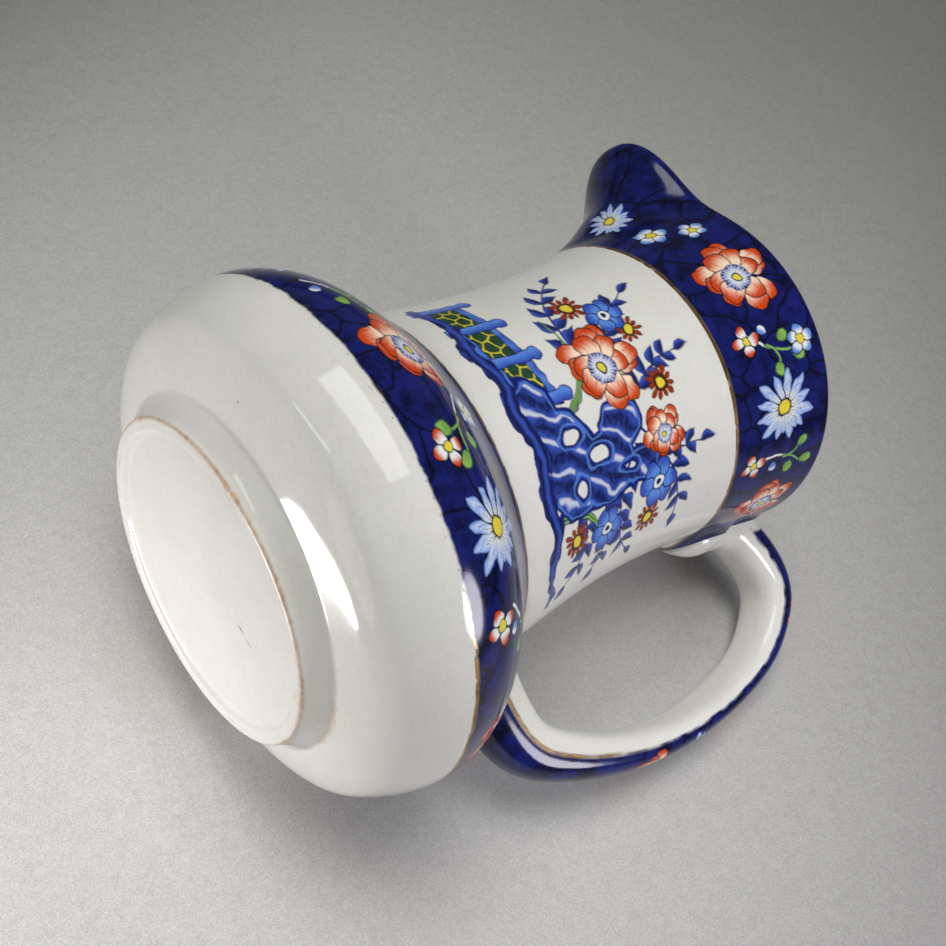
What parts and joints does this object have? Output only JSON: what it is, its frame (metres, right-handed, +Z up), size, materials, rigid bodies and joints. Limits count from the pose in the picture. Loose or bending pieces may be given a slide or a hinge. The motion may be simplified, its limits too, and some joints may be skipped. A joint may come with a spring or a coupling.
{
  "type": "ceramic jug",
  "caption": "Round-bellied glazed ceramic jug with a straight neck, pinched spout, strap handle and low recessed foot.",
  "frame": {"origin": "centre of the foot, on the plane that the jug stands on; the recessed underside lies 1.2 mm above it", "axes": "+Z up the jug's turning axis, +X towards the handle, -X towards the spout"},
  "size_m": [0.1602, 0.1238, 0.1649],
  "materials": {
    "glazed_ceramic": "glossy off-white glaze with blue painted bands and gold lines"
  },
  "bodies": {
    "root": {"jug": "glazed_ceramic"}
  },
  "joints": []
}
